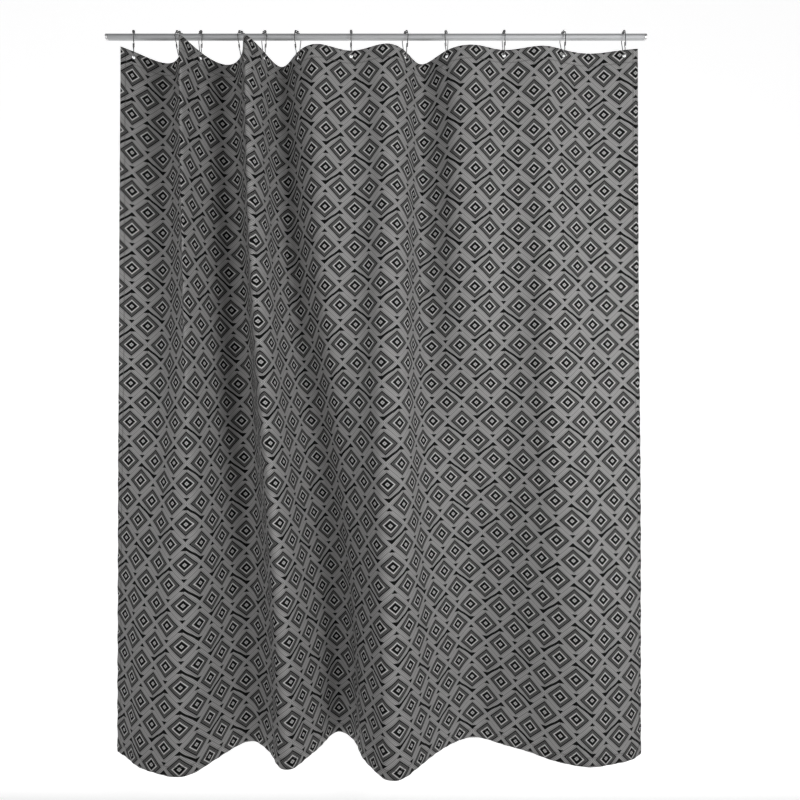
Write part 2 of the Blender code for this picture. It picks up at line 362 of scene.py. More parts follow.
cast_cap = Finish("cast_cap", Metallic=1.0)
place = cast_cap.place()
cast = cast_cap.noise(place, 0.0004, 3.0)
blotch = cast_cap.noise(place, 0.004, 2.0)
cast_cap.drive(
    Base_Color=cast_cap.between(cast * 0.5 + blotch * 0.5, grey(0.62), grey(0.76)),
    Roughness=0.32 + cast * 0.14 + blotch * 0.06,
    Normal=cast_cap.bump(cast, 0.00003, 0.7),
)
finished(left_cap, cast_cap, "rod", "cap_metal", "end_cap_left")
finished(right_cap, cast_cap, "rod", "cap_metal", "end_cap_right")

# The curtain panel. One piece of plain-woven polyester, cut 1.83 m square, printed on its
# face with nested diamonds and hung by twelve eyelets. It is made flat here, holes and
# all, and then hung: its header weaves from hook to hook in sharp folds, which open on
# the way down into a few broad ones at the bottom edge.

CURTAIN_WIDTH = 1.83
CURTAIN_DROP = 1.83
EDGE_TO_EYELET = 0.033
TOP_TO_EYELET = 0.015
CLOTH_THICK = 0.0005
HOOK_LOW = 0.050
HEADER_RISE = 0.0128
HUNG_START = 0.047
HUNG_WIDTH = CURTAIN_WIDTH / 1.376
HOOKS = [  # place along the hung width, and lean in degrees
    (0.0186, 0),
    (0.1087, 2),
    (0.1489, 3),
    (0.2302, 3),
    (0.2733, 2),
    (0.3389, 3),
    (0.4437, -4),
    (0.5491, -2),
    (0.6298, -5),
    (0.7414, -7),
    (0.8570, -8),
    (0.9755, -7),
]
HEADER_FOLDS = [  # way that each fold goes, and where between its hooks it turns
    (1, 0.62),
    (-1, 0.45),
    (1, 0.55),
    (-1, 0.42),
    (1, 0.40),
    (-1, 0.40),
    (-1, 0.66),
    (1, 0.42),
    (-1, 0.48),
    (-1, 0.60),
    (1, 0.50),
]
BOTTOM_FOLDS = [  # place along the hung width, and depth
    (-0.020, 0.012),
    (0.153, -0.060),
    (0.245, 0.055),
    (0.324, -0.052),
    (0.411, 0.096),
    (0.508, -0.086),
    (0.668, 0.062),
    (0.897, -0.050),
    (1.012, 0.006),
]
EYELET_PITCH = (CURTAIN_WIDTH - 2 * EDGE_TO_EYELET) / (len(HOOKS) - 1)
FOLD_STEPS = 60
FOLD_PASSES = 40
FIRST_FOLD_DEPTH = 0.03
LEAST_FOLD_DEPTH = 0.004
BOTTOM_PASSES = 30
PLAN_COLUMNS = 1200
PLAN_ROWS = 72


def smooth_curve(points):
    """Fine points of the natural cubic spline through the given plan points."""
    p = np.array(points, float)
    h = np.linalg.norm(np.diff(p, axis=0), axis=1)
    n = len(p)
    system, right = np.eye(n), np.zeros((n, 2))
    for i in range(1, n - 1):
        system[i, i - 1 : i + 2] = h[i - 1], 2 * (h[i - 1] + h[i]), h[i]
        right[i] = 6 * ((p[i + 1] - p[i]) / h[i] - (p[i] - p[i - 1]) / h[i - 1])
    bend = np.linalg.solve(system, right)
    fine = []
    for i in range(n - 1):
        s = np.linspace(0, 1, FOLD_STEPS, endpoint=False)[:, None]
        straight = p[i] * (1 - s) + p[i + 1] * s
        first, second = (1 - s) ** 3 - (1 - s), s**3 - s
        fine.append(straight + h[i] ** 2 / 6 * (first * bend[i] + second * bend[i + 1]))
    return np.vstack(fine + [p[-1:]])


def lengths_along(line):
    steps = np.linalg.norm(np.diff(line, axis=0), axis=1)
    return np.concatenate([[0], np.cumsum(steps)])


def at_shares(line, shares):
    """Points at shares of a line's length."""
    along = lengths_along(line)
    return np.stack([np.interp(shares * along[-1], along, line[:, k]) for k in (0, 1)], 1)


leans = np.radians([lean for _, lean in HOOKS])
hook_x = HUNG_START + np.array([share for share, _ in HOOKS]) * HUNG_WIDTH
hook_feet = np.stack([hook_x, HOOK_LOW * np.sin(leans)], 1)


def edge_point(foot, edge_x):
    across = foot[0] - edge_x
    return (edge_x, foot[1] - math.sqrt(max(EDGE_TO_EYELET**2 - across**2, 0)))


def header_curve():
    """The header's plan: through each hook, with the same length of cloth between."""
    first = edge_point(hook_feet[0], HUNG_START)
    last = edge_point(hook_feet[-1], HUNG_START + HUNG_WIDTH)
    depths = np.full(len(HEADER_FOLDS), FIRST_FOLD_DEPTH)
    for _ in range(FOLD_PASSES):
        points = [first]
        for i, (way, share) in enumerate(HEADER_FOLDS):
            middle = hook_feet[i] * (1 - share) + hook_feet[i + 1] * share
            points += [hook_feet[i], middle + (0, way * depths[i])]
        points += [hook_feet[-1], last]
        line = smooth_curve(points)
        along = lengths_along(line)
        for i in range(len(HEADER_FOLDS)):
            start = FOLD_STEPS * (1 + 2 * i)
            length = along[start + 2 * FOLD_STEPS] - along[start]
            depths[i] += 0.4 * (EYELET_PITCH - length)
        depths = np.maximum(depths, LEAST_FOLD_DEPTH)
    return line


def bottom_curve():
    """The bottom edge's plan, its depths scaled until it is as long as the cloth."""
    places = np.array(BOTTOM_FOLDS)
    places[:, 0] = HUNG_START + places[:, 0] * HUNG_WIDTH
    places[:, 1] -= places[:, 1].mean()
    scale = 1.0
    for _ in range(BOTTOM_PASSES):
        line = smooth_curve(places * (1, scale))
        scale += 2 * (CURTAIN_WIDTH - lengths_along(line)[-1]) / CURTAIN_WIDTH
    return line


def blended(header, bottom, down):
    """The plan at a share of the drop, its depths scaled to keep the cloth's width."""
    weight = down * down * (3 - 2 * down)
    line = header * (1 - weight) + bottom * weight
    middle = line[:, 1].mean()
    low, high = 0.2, 8.0
    for _ in range(BOTTOM_PASSES):
        scale = (low + high) / 2
        stretched = np.stack([line[:, 0], middle + (line[:, 1] - middle) * scale], 1)
        if lengths_along(stretched)[-1] < CURTAIN_WIDTH:
            low = scale
        else:
            high = scale
    return stretched


shares = np.linspace(0, 1, PLAN_COLUMNS + 1)
header_line = at_shares(header_curve(), shares)
bottom_line = at_shares(bottom_curve(), shares)
hung_plan = np.array(
    [
        at_shares(blended(header_line, bottom_line, down), shares)
        for down in np.linspace(0, 1, PLAN_ROWS + 1)
    ]
)
hook_heights = -HOOK_LOW * np.cos(leans)
top_heights = np.interp(header_line[:, 0], hook_x, hook_heights) + HEADER_RISE


def plan_and_height(across, down):
    """Where the folds alone put points of the flat cloth: plan x and y, and height."""
    i = np.clip(across / CURTAIN_WIDTH * PLAN_COLUMNS, 0, PLAN_COLUMNS - 1e-6)
    j = np.clip(down / CURTAIN_DROP * PLAN_ROWS, 0, PLAN_ROWS - 1e-6)
    i0, j0 = i.astype(int), j.astype(int)
    s, t = (i - i0)[:, None], (j - j0)[:, None]
    upper = hung_plan[j0, i0] * (1 - s) + hung_plan[j0, i0 + 1] * s
    lower = hung_plan[j0 + 1, i0] * (1 - s) + hung_plan[j0 + 1, i0 + 1] * s
    plan = upper * (1 - t) + lower * t
    along = hung_plan[j0, i0 + 1] - hung_plan[j0, i0]
    along /= np.linalg.norm(along, axis=1)[:, None]
    beyond = across - np.clip(across, 0, CURTAIN_WIDTH)
    plan = plan + along * beyond[:, None]
    level = np.interp(across / CURTAIN_WIDTH, shares, top_heights) - down
    return np.column_stack([plan, level]), along


eyelets_across = EDGE_TO_EYELET + EYELET_PITCH * np.arange(len(HOOKS))
ripple_draws = np.random.default_rng(11)
RIPPLES = [  # wavelength across, depth; how each drifts on the way down is drawn
    (0.41, 0.0034),
    (0.26, 0.0034),
    (0.17, 0.0025),
    (0.12, 0.0015),
    (0.083, 0.0009),
]
ripple_sets = [
    (length, depth, *ripple_draws.uniform((0, -0.5, 0, 0.5), (6.28, 0.5, 6.28, 1.4)))
    for length, depth in RIPPLES
]
HEADER_STIFF = 0.05
SAG = 0.0020
DRAG_DEPTH = 0.0022
SAG_REACH = 0.30
DRAG_REACH = 0.13
PUCKER_BOTTOM = 0.0006
PUCKER_SIDE = 0.0009


def ripple(across, down):
    """How far the cloth stands off its plain folds, along its normal."""
    loose = 1 - np.exp(-((down / (2.2 * HEADER_STIFF)) ** 2))
    off = np.zeros_like(across)
    for length, depth, phase, drift, beat_phase, beat in ripple_sets:
        wave = np.sin(math.tau * (across + drift * 0.25 * down) / length + phase)
        swell = 0.6 + 0.4 * np.sin(math.tau * down * beat / CURTAIN_DROP + beat_phase)
        off += depth * wave * swell * loose
    for n, eyelet in enumerate(eyelets_across):
        below = np.maximum(down - TOP_TO_EYELET, 0)
        spread = 0.010 + 0.30 * below
        fan = np.exp(-(((across - eyelet) / spread) ** 2))
        creases = np.cos(3.4 * (across - eyelet) / spread + 0.8 * n)
        pulled = np.exp(-below / DRAG_REACH) * (1 - np.exp(-((below / 0.02) ** 2)))
        off += DRAG_DEPTH * fan * creases * pulled
    from_bottom = (CURTAIN_DROP - down) / 0.022
    hem = np.exp(-(from_bottom**2))
    off += PUCKER_BOTTOM * hem * np.sin(
        math.tau * across / 0.031 + 2 * np.sin(9 * across)
    )
    for edge in (0, CURTAIN_WIDTH):
        side = np.exp(-(((across - edge) / 0.013) ** 2)) * loose
        off += PUCKER_SIDE * side * np.sin(
            math.tau * down / 0.061 + 2 * np.sin(7 * down)
        )
    return off


def laid(across, down):
    """Points of the hung cloth's middle, for points of the flat cloth."""
    points, along = plan_and_height(across, down)
    normal = np.column_stack([-along[:, 1], along[:, 0]])
    points[:, :2] += ripple(across, down)[:, None] * normal
    gap = (across - EDGE_TO_EYELET) / EYELET_PITCH
    hooked = (gap > 0) & (gap < len(HOOKS) - 1)
    slack = np.where(hooked, np.sin(math.pi * gap) ** 2, 0.0)
    points[:, 2] -= SAG * slack * np.exp(-down / SAG_REACH)
    return points


def hang(piece):
    """Moves a piece made on the flat cloth to where the hung cloth takes it.

    Flat, X runs across the cloth and -Z down it, and +Y is behind it."""
    count = len(piece.data.vertices)
    flat = np.empty(count * 3)
    piece.data.vertices.foreach_get("co", flat)
    across, behind, down = flat.reshape(-1, 3).T * np.array([[1], [1], [-1]])
    step = 0.0015
    by_width = laid(across + step, down) - laid(across - step, down)
    by_drop = laid(across, down + step) - laid(across, down - step)
    normal = np.cross(by_width, by_drop)
    normal /= np.linalg.norm(normal, axis=1)[:, None]
    hung = laid(across, down) + behind[:, None] * normal
    piece.data.vertices.foreach_set("co", hung.ravel())
    piece.data.update()


def drawn_with_hooks(piece):
    """Gives the piece a mesh of its own."""
    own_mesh(piece)


last_slide = next(j for j in frame["joints"] if j["name"] == "hook_12_slide")
DRAWN_KEEP = 1 - abs(last_slide["range_m"][0]) / hook_x[-1]

PITCH_COLUMNS = 30
EDGE_COLUMNS = 6
HEADER_ROWS = [0, 0.0045, 0.0098, 0.015, 0.0202, 0.0255, 0.031, 0.037, 0.044, 0.053]
LOWER_ROWS = 127
EYELET_RADIUS = 0.0051
EYELET_REACH = 0.006  # the cut takes grid points nearer than this to its middle
EYELET_RING = 0.005
AT_MIDDLE = 0.0001


def flat_columns():
    left = np.linspace(0, EDGE_TO_EYELET, EDGE_COLUMNS, endpoint=False)
    between = np.linspace(
        EDGE_TO_EYELET,
        CURTAIN_WIDTH - EDGE_TO_EYELET,
        PITCH_COLUMNS * (len(HOOKS) - 1) + 1,
    )
    return np.concatenate([left, between, CURTAIN_WIDTH - left[::-1]])


def flat_grid(name, columns, rows, behind=0.0):
    """A flat sheet on the given lines across and down the cloth, faces to the room."""
    nothing_selected()
    bpy.ops.mesh.primitive_grid_add(
        x_subdivisions=len(columns) - 1, y_subdivisions=len(rows) - 1, size=1
    )
    sheet = named(name)
    count = len(sheet.data.vertices)
    at = np.empty(count * 3)
    sheet.data.vertices.foreach_get("co", at)
    at = at.reshape(-1, 3)
    i = np.rint((at[:, 0] + 0.5) * (len(columns) - 1)).astype(int)
    j = np.rint((0.5 - at[:, 1]) * (len(rows) - 1)).astype(int)
    flat = np.column_stack([columns[i], np.full(count, behind), -rows[j]])
    sheet.data.vertices.foreach_set("co", flat.ravel())
    sheet.data.update()
    return sheet


def cut_eyelets(sheet):
    """Opens a round hole at each eyelet: the middle point goes, its ring is rounded."""
    shape = bmesh.new()
    shape.from_mesh(sheet.data)
    middles, rings = [], []
    for vert in shape.verts:
        n = round((vert.co.x - EDGE_TO_EYELET) / EYELET_PITCH)
        x = vert.co.x - (EDGE_TO_EYELET + n * EYELET_PITCH)
        z = vert.co.z + TOP_TO_EYELET
        if abs(x) < AT_MIDDLE and abs(z) < AT_MIDDLE:
            middles.append(vert)
        elif abs(x) < EYELET_REACH and abs(z) < EYELET_REACH:
            angle = math.atan2(round(z / EYELET_RING), round(x / EYELET_RING))
            rings.append((vert, angle))
    for vert, angle in rings:
        n = round((vert.co.x - EDGE_TO_EYELET) / EYELET_PITCH)
        vert.co.x = EDGE_TO_EYELET + n * EYELET_PITCH + EYELET_RADIUS * math.cos(angle)
        vert.co.z = EYELET_RADIUS * math.sin(angle) - TOP_TO_EYELET
    bmesh.ops.delete(shape, geom=middles, context="VERTS")
    shape.to_mesh(sheet.data)
    shape.free()


def flat_metres_map(sheet):
    """A UV map in metres of flat cloth, from its top left corner."""
    corners = sheet.data.uv_layers.active or sheet.data.uv_layers.new(name="flat_metres")
    corners.name = "flat_metres"
    for loop, uv in zip(sheet.data.loops, corners.uv):
        at = sheet.data.vertices[loop.vertex_index].co
        uv.vector = (at.x, -at.z)


lower_rows = np.linspace(HEADER_ROWS[-1], CURTAIN_DROP, LOWER_ROWS + 1)[1:]
panel_rows = np.concatenate([HEADER_ROWS, lower_rows])
panel = flat_grid("curtain_cloth", flat_columns(), panel_rows)
cut_eyelets(panel)
flat_metres_map(panel)
hang(panel)

# The print. Rows of nested diamonds on a ground of fine diagonal stripes, with a small
# triangle above and below each diamond and bent black lines between some of them.

PRINT_ACROSS = 0.078
PRINT_DOWN = 0.100
PRINT_LEFT = 0.39 * PRINT_ACROSS
PRINT_TOP = 0.062
DIAMOND_HALF_WIDTH = 0.365
DIAMOND_HALF_HEIGHT = 0.27
REACH_END = 1.45
INK = 0.004
RINGS = [  # how far out each band of a diamond ends, and its tone
    (0.06, 0.10),
    (0.20, 0.62),
    (0.46, INK),
    (0.52, 0.08),
    (0.64, 0.82),
    (0.71, 0.10),
    (0.79, 0.18),
    (0.86, 0.02),
    (0.93, 0.20),
    (1.05, INK),
    (1.10, 0.24),
    (1.22, 0.33),
    (REACH_END, 0.43),
]
SOFT = 0.008
STRIPE_REACH = 0.16
BAR_HALF = 0.0027
BARS = [  # where a bent line starts and ends, in repeats across and down
    ((0.5, 0.10), (1.0, 0.385)),
    ((2.0, -0.395), (1.5, -0.115)),
]
INK_EDGE = 0.0002
TRIANGLE_FROM_MIDDLE = 0.0395
TRIANGLE_HALF_WIDTH = 0.0072
TRIANGLE_HEIGHT = 0.0086
LARGE_EXTRA_WIDTH = 0.0036
LARGE_EXTRA_HEIGHT = 0.0022


def band_stops(bands, end):
    """Colour ramp stops for flat bands with slightly soft borders."""
    stops = [(0, bands[0][1])]
    for (border, tone), (_, following) in zip(bands, bands[1:]):
        stops += [(border / end - SOFT / 2, tone), (border / end + SOFT / 2, following)]
    return stops


def wrapped(value, low, high):
    """The value moved by whole periods into the range from low to high."""
    return value.node(
        "ShaderNodeMath", {"operation": "WRAP"}, {0: value, 1: high, 2: low}
    )


def inside(value, slack):
    """1 where the value is above 0, 0 below, with a border as soft as slack."""
    inputs = {"Value": value, "From Min": -slack, "From Max": slack}
    return value.node("ShaderNodeMapRange", inputs=inputs)


def bar(x, y, start, end, half_width):
    """A straight line of ink from start to end, in repeats of the print."""
    (x0, y0), (x1, y1) = [(a * PRINT_ACROSS, b * PRINT_DOWN) for a, b in (start, end)]
    length = math.hypot(x1 - x0, y1 - y0)
    run, fall = (x1 - x0) / length, (y1 - y0) / length
    x, y = x * PRINT_ACROSS - x0, y * PRINT_DOWN - y0
    along = x * run + y * fall
    beside = y * run - x * fall
    ends = inside(along, INK_EDGE) * inside(length - along, INK_EDGE)
    return inside(half_width - abs(beside), INK_EDGE) * ends


def printed_tone(flat):
    """The print's tone, from the map of the flat cloth."""
    corners = flat.node("ShaderNodeSeparateXYZ", inputs={"Vector": flat})
    across = (corners.also("X") - PRINT_LEFT) / PRINT_ACROSS
    down = (corners.also("Y") - PRINT_TOP) / PRINT_DOWN
    ink = None
    reach = None
    for shift in (0.0, 0.5):
        x = wrapped(across - shift, -0.5, 0.5)
        y = wrapped(down - shift, -0.5, 0.5)
        out = abs(x) / DIAMOND_HALF_WIDTH + abs(y) / DIAMOND_HALF_HEIGHT
        reach = out if reach is None else reach.maths("MINIMUM", out)
        odd = wrapped(across - shift, -0.5, 1.5).maths("GREATER_THAN", 0.5)
        x, y = x * PRINT_ACROSS, y * PRINT_DOWN
        for way in (1, -1):
            large = 1 - odd if way == 1 else odd
            half_width = TRIANGLE_HALF_WIDTH + large * LARGE_EXTRA_WIDTH
            high = TRIANGLE_HEIGHT + large * LARGE_EXTRA_HEIGHT
            at = y + way * TRIANGLE_FROM_MIDDLE
            apex = at * way + high / 2
            side = apex * (half_width / high) - abs(x)
            mark = inside(side, INK_EDGE) * inside(high - apex, INK_EDGE)
            ink = mark if ink is None else ink.maths("MAXIMUM", mark)
    x, y = wrapped(across, 0.0, 2.0), wrapped(down, -0.5, 0.5)
    for start, end in BARS:
        ink = ink.maths("MAXIMUM", bar(x, y, start, end, BAR_HALF))
    ramp = (reach / REACH_END).node(
        "ShaderNodeValToRGB",
        {"stops": band_stops(RINGS, REACH_END)},
        {"Fac": reach / REACH_END},
    )
    stripes = (reach * (math.tau / STRIPE_REACH)).maths("SINE")
    outside = inside(reach - 1.06, 0.01)
    tone = ramp * (1 + stripes * outside * 0.45)
    return tone * (1 - ink) + ink * INK


def woven(finish, flat, threads):
    """The height of a plain weave, with a number of threads to the metre."""
    corners = flat.node("ShaderNodeSeparateXYZ", inputs={"Vector": flat})
    warp = (corners.also("X") * (math.pi * threads)).maths("SINE")
    weft = (corners.also("Y") * (math.pi * threads)).maths("SINE")
    slub = finish.noise(flat, 0.004, 3.0, (1, 0.2, 1))
    return warp * weft * 0.5 + slub * 0.6


SEAM_IN = 0.0122
SEAM_HALF = 0.0024
SEAMS_DOWN = [0.0335, CURTAIN_DROP - 0.0235]


def seam_dent_and_painted_shade(flat):
    """How near a point is to a sewn line, from 0 to 1; the thread pulls the cloth in, which
    the bump dents, and the colour there is darkened as painted crease shade.
    """
    corners = flat.node("ShaderNodeSeparateXYZ", inputs={"Vector": flat})
    from_side = CURTAIN_WIDTH / 2 - abs(corners.also("X") - CURTAIN_WIDTH / 2)
    near = abs(from_side - SEAM_IN)
    for down in SEAMS_DOWN:
        near = near.maths("MINIMUM", abs(corners.also("Y") - down))
    return near.node(
        "ShaderNodeMapRange",
        {"interpolation_type": "SMOOTHSTEP"},
        {"Value": near, "From Min": SEAM_HALF, "From Max": 0.0},
    )


def printed_cloth(name, strength, paleness):
    """Printed polyester. The dye is strong on its face and shows pale on its back."""
    finish = Finish(
        name, Sheen_Weight=0.02, Sheen_Roughness=0.45, Specular_IOR_Level=0.06
    )
    flat = finish.start.node(
        "ShaderNodeUVMap", {"uv_map": "flat_metres"}, output="UV"
    )
    tone = printed_tone(flat)
    fuzz = finish.noise(flat, 0.0012, 3.0)
    cloudy = finish.noise(flat, 0.35, 2.0)
    share = tone * strength * (0.86 + fuzz * 0.28) * (0.94 + cloudy * 0.12) + paleness
    weave = woven(finish, flat, 1400)
    dent_and_painted_shade = seam_dent_and_painted_shade(flat)
    # Painted crease shade: the colour is darkened along the sewn lines.
    share = share * (1 - dent_and_painted_shade * 0.35)
    finish.drive(
        Base_Color=finish.between(share, grey(0.004), grey(1.0, 0.012)),
        Roughness=0.80 + fuzz * 0.14,
        Normal=finish.bump(weave * 0.06 - dent_and_painted_shade * 0.9, 0.0006, 0.6),
    )
    return finish


printed_face = printed_cloth("printed_face", 0.68, 0.0)
printed_back = printed_cloth("printed_back", 0.42, 0.13)
panel.data.materials.append(printed_face.material)
panel.data.materials.append(printed_back.material)
modifier(
    panel, "SOLIDIFY", thickness=CLOTH_THICK, offset=0, material_offset=1,
    use_even_offset=False,
)
only_selected(panel)
bpy.ops.object.shade_smooth()
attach(panel, "curtain")
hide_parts("curtain_panel")
drawn_with_hooks(panel)

# The header tape. A strip of stiff non-woven ribbon along the back of the top edge, which
# stops the eyelets tearing out and makes the header stand in crisp folds.

TAPE_DROP = 0.036
TAPE_THICK = 0.0005
TAPE_BEHIND = 0.0008
TAPE_ROWS = [0.001, 0.0055, 0.0101, 0.015, 0.0199, 0.0245, 0.030, TAPE_DROP]
tape_columns = flat_columns()
tape_columns[0] += 0.0015
tape_columns[-1] -= 0.0015
tape = flat_grid("header_ribbon", tape_columns, np.array(TAPE_ROWS), TAPE_BEHIND)
cut_eyelets(tape)
flat_metres_map(tape)
hang(tape)
modifier(tape, "SOLIDIFY", thickness=TAPE_THICK, offset=0)
only_selected(tape)
bpy.ops.object.shade_smooth_by_angle(angle=math.radians(50))

ribbon = Finish("stiff_ribbon", Specular_IOR_Level=0.3)
flat = ribbon.start.node("ShaderNodeUVMap", {"uv_map": "flat_metres"}, output="UV")
fibres = ribbon.noise(flat, 0.0009, 4.0, (3, 1, 1))
corners = flat.node("ShaderNodeSeparateXYZ", inputs={"Vector": flat})
ribs = (corners.also("Y") * (math.tau / 0.0016)).maths("SINE")
ribbon.drive(
    Base_Color=ribbon.between(fibres * 0.7 + ribs * 0.12, grey(0.42), grey(0.66, 0.02)),
    Roughness=0.82 + fibres * 0.12,
    Normal=ribbon.bump(ribs * 0.5 + fibres, 0.00012, 0.5),
)
finished(tape, ribbon, "curtain", "tape_cloth", "header_tape")
drawn_with_hooks(tape)

# The hems. The side and bottom edges are turned twice to the back and sewn down flat, so
# each shows there as a band of three layers with the printed face outwards.

SIDE_HEM = 0.014
BOTTOM_HEM = 0.026
HEM_THICK = 0.0007
HEM_BEHIND = 0.0007
HEM_GAP = 0.0006  # between one hem and the next piece
HEM_INSET = 0.0002


def hem(name, columns, rows):
    band = flat_grid(name, columns, rows, HEM_BEHIND)
    flat_metres_map(band)
    hang(band)
    modifier(band, "SOLIDIFY", thickness=HEM_THICK, offset=0)
    only_selected(band)
    bpy.ops.object.shade_smooth_by_angle(angle=math.radians(50))
    finished(band, printed_face, "curtain", "printed_cloth")
    drawn_with_hooks(band)
    return band


side_rows = np.concatenate([[TAPE_DROP + HEM_GAP, 0.044, 0.053], lower_rows[:-1], [1.8295]])
side_columns = np.linspace(0, SIDE_HEM, 5) + HEM_INSET
bottom_rows = np.linspace(CURTAIN_DROP - BOTTOM_HEM, CURTAIN_DROP - 0.0004, 5)
inner = flat_columns()
inner = inner[(inner > SIDE_HEM + 0.002) & (inner < CURTAIN_WIDTH - SIDE_HEM - 0.002)]
side_ends = [SIDE_HEM + HEM_GAP], [CURTAIN_WIDTH - SIDE_HEM - HEM_GAP]
left_hem = hem("hem_left", side_columns, side_rows)
right_hem = hem("hem_right", CURTAIN_WIDTH - side_columns[::-1], side_rows)
bottom_columns = np.concatenate([side_ends[0], inner, side_ends[1]])
bottom_hem = hem("hem_bottom", bottom_columns, bottom_rows)

# The stitching. Lockstitch in grey thread, ten stitches to 30 mm: two rows along the
# header tape and one along each hem, on both faces. Each stitch dips into the cloth at
# both ends, where it meets the thread from the other face.

STITCH_PITCH = 0.0030
STITCH_LENGTH = 0.0027
THREAD_RADIUS = 0.00024
STITCH_RISE = 0.00028
STITCH_SIDES = 6
SIDE_SEAM_TOP = 0.038
SIDE_SEAM_FOOT = 0.026
HEADER_SEAM_END = 0.004
HEADER_SEAMS = (0.0040, 0.0335)
BOTTOM_SEAM = 0.0235
BOTTOM_SEAM_END = 0.0150

nothing_selected()
bpy.ops.mesh.primitive_cylinder_add(
    vertices=STITCH_SIDES,
    radius=THREAD_RADIUS,
    depth=STITCH_LENGTH,
    rotation=(0, math.pi / 2, 0),
)
stitch = named("stitch")
bpy.ops.object.transform_apply(location=True, rotation=True, scale=True)
bpy.ops.object.mode_set(mode="EDIT")
selected_edges(stitch, lambda at: True)
shape = bmesh.from_edit_mesh(stitch.data)
for edge in shape.edges:
    edge.select_set(abs(edge.verts[0].co.x - edge.verts[1].co.x) > STITCH_LENGTH / 2)
bmesh.update_edit_mesh(stitch.data)
bpy.ops.mesh.subdivide(number_cuts=2)
bpy.ops.object.mode_set(mode="OBJECT")
for vert in stitch.data.vertices:
    from_middle = abs(vert.co.x) / (STITCH_LENGTH / 2)
    taper = 1.0 if from_middle < 0.9 else 0.45
    vert.co.y *= taper
    vert.co.z *= taper
    vert.co.y += STITCH_RISE * (1 - 1.6 * from_middle**2)
one_stitch = np.array([vert.co for vert in stitch.data.vertices])
stitch_faces = [list(face.vertices) for face in stitch.data.polygons]
bpy.data.objects.remove(stitch)


def sewn_row(name, start, end, surface):
    """A row of stitches from start to end, places across and down the flat cloth."""
    start, end = np.array(start), np.array(end)
    length = np.linalg.norm(end - start)
    run = (end - start) / length
    count = int(length / STITCH_PITCH)
    middles = start + run * (np.arange(count)[:, None] + 0.5) * STITCH_PITCH
    along, out, beside = one_stitch.T
    points = np.empty((count, len(one_stitch), 3))
    points[:, :, 0] = middles[:, :1] + along * run[0] + beside * run[1]
    points[:, :, 1] = surface + out * np.sign(surface)
    points[:, :, 2] = -(middles[:, 1:] + along * run[1] - beside * run[0])
    faces = [
        [corner + n * len(one_stitch) for corner in face]
        for n in range(count)
        for face in stitch_faces
    ]
    mesh = bpy.data.meshes.new(name)
    mesh.from_pydata(points.reshape(-1, 3), [], faces)
    row = bpy.data.objects.new(name, mesh)
    bpy.context.scene.collection.objects.link(row)
    hang(row)
    return row


def sewn_both_sides(name, start, end, back):
    rows = [
        sewn_row(f"{name}_front", start, end, -CLOTH_THICK / 2 - THREAD_RADIUS * 0.3),
        sewn_row(f"{name}_back", start, end, back + THREAD_RADIUS * 0.3),
    ]
    for row in rows:
        only_selected(row)
        bpy.ops.object.mode_set(mode="EDIT")
        bpy.ops.mesh.select_all(action="SELECT")
        bpy.ops.mesh.normals_make_consistent(inside=False)
        bpy.ops.object.mode_set(mode="OBJECT")
        bpy.ops.object.shade_smooth()
        finished(row, sewing_thread, "curtain", "printed_cloth")
        drawn_with_hooks(row)
    return rows


sewing_thread = Finish("sewing_thread", Specular_IOR_Level=0.4)
place = sewing_thread.place()
twist = sewing_thread.noise(place, 0.0003, 2.0)
worn = sewing_thread.noise(place, 0.02, 2.0)
sewing_thread.drive(
    Base_Color=sewing_thread.between(
        twist * 0.6 + worn * 0.4, grey(0.11), grey(0.24, 0.01)
    ),
    Roughness=0.55 + twist * 0.25,
    Normal=sewing_thread.bump(twist, 0.0001, 0.6),
)

tape_back = TAPE_BEHIND + TAPE_THICK / 2
hem_back = HEM_BEHIND + HEM_THICK / 2
header_left = HEADER_SEAM_END
header_right = CURTAIN_WIDTH - HEADER_SEAM_END
side_right = CURTAIN_WIDTH - SEAM_IN
side_foot = CURTAIN_DROP - SIDE_SEAM_FOOT
bottom_right = CURTAIN_WIDTH - BOTTOM_SEAM_END
bottom_down = CURTAIN_DROP - BOTTOM_SEAM
upper, lower = HEADER_SEAMS
SEWN = [  # name, start and end on the flat cloth, and how far back its other face is
    ("stitch_header_upper", (header_left, upper), (header_right, upper), tape_back),
    ("stitch_header_lower", (header_left, lower), (header_right, lower), tape_back),
    ("stitch_left", (SEAM_IN, SIDE_SEAM_TOP), (SEAM_IN, side_foot), hem_back),
    ("stitch_right", (side_right, SIDE_SEAM_TOP), (side_right, side_foot), hem_back),
    ("stitch_bottom", (BOTTOM_SEAM_END, bottom_down), (bottom_right, bottom_down), hem_back),
]
stitching = []
for name, start, end, back in SEWN:
    stitching += sewn_both_sides(name, start, end, back)

# The eyelets. Each hole is bound by hand-close buttonhole thread, which wraps round the
# raw edge of cloth and tape and stands a little proud of both.

